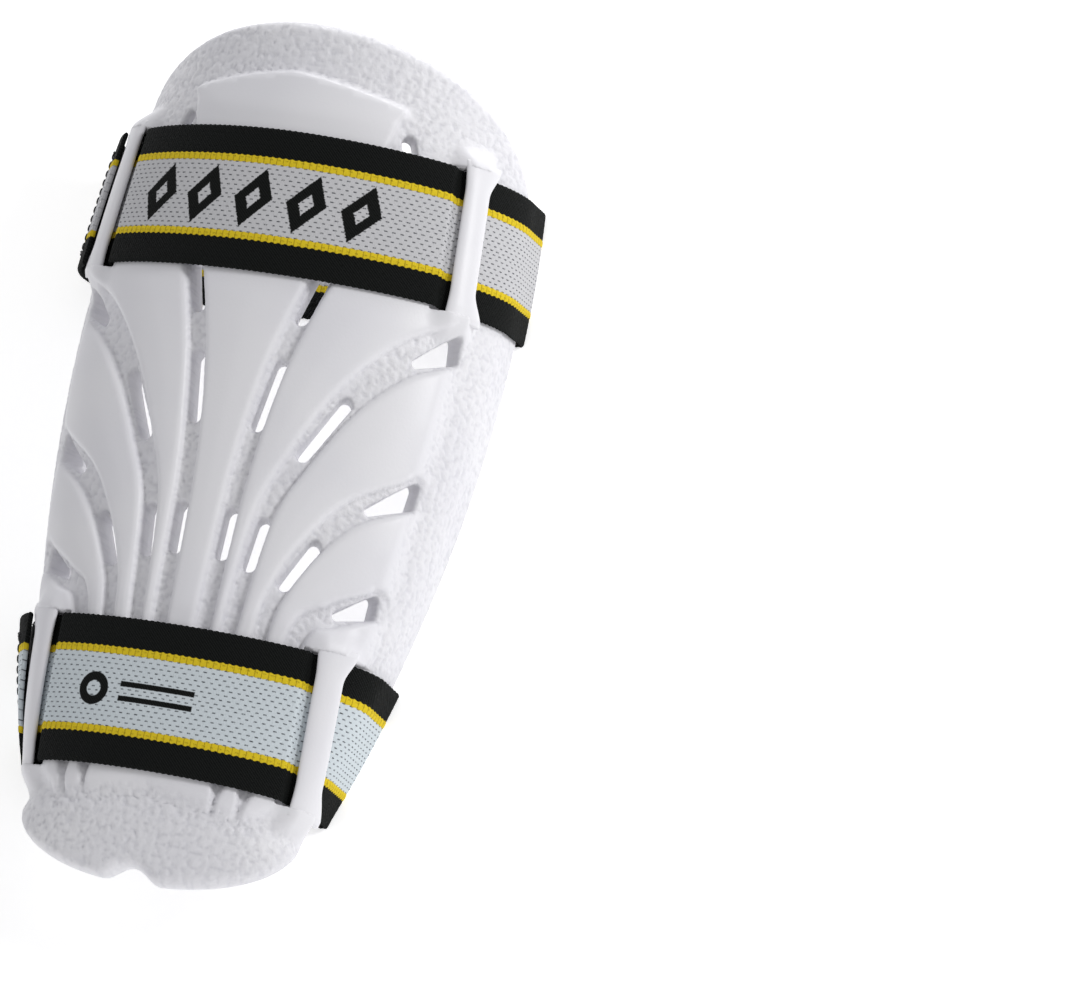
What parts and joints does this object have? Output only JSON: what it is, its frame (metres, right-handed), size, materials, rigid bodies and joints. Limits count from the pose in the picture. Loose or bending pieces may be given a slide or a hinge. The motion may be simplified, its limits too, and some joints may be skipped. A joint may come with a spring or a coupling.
{
  "type": "forearm guard",
  "caption": "Moulded foam forearm guard: a tapered half tube with fanned raised panels and vent slots, held by elastic straps under moulded bars.",
  "frame": {"origin": "middle of the footprint, on the surface that the guard lies on with its front up", "axes": "+Y along the guard from the wrist to the elbow, +Z out of the front, +X across it away from the closures"},
  "size_m": [0.1444, 0.2655, 0.068],
  "materials": {
    "foam": "white moulded closed-cell foam with a smooth skin and a leather-like wrinkle on the rim",
    "webbing": "woven elastic with black borders, yellow cords and a light grey knitted middle",
    "pile": "black loop pile",
    "hook": "black nylon hook tape",
    "thread": "black polyester thread"
  },
  "bodies": {
    "guard": {"foam_shell": "foam", "upper_strap": "webbing", "upper_loop_patch": "pile", "upper_loop_stitching": "thread", "lower_strap": "webbing", "lower_loop_patch": "pile", "lower_loop_stitching": "thread"},
    "upper_tab": {"upper_strap_tab": "webbing", "upper_hook_patch": "hook", "upper_hook_stitching": "thread"},
    "lower_tab": {"lower_strap_tab": "webbing", "lower_hook_patch": "hook", "lower_hook_stitching": "thread"}
  },
  "joints": [
    {"name": "upper_closure", "type": "hinge", "parent": "guard", "child": "upper_tab", "pos_m": [-0.06775, 0.08248, 0.0032], "axis": [-0.0757, -0.9971, 0], "range_deg": [0, 90]},
    {"name": "lower_closure", "type": "hinge", "parent": "guard", "child": "lower_tab", "pos_m": [-0.05154, -0.07779, 0.0032], "axis": [0.2661, -0.9639, 0], "range_deg": [0, 90]}
  ]
}
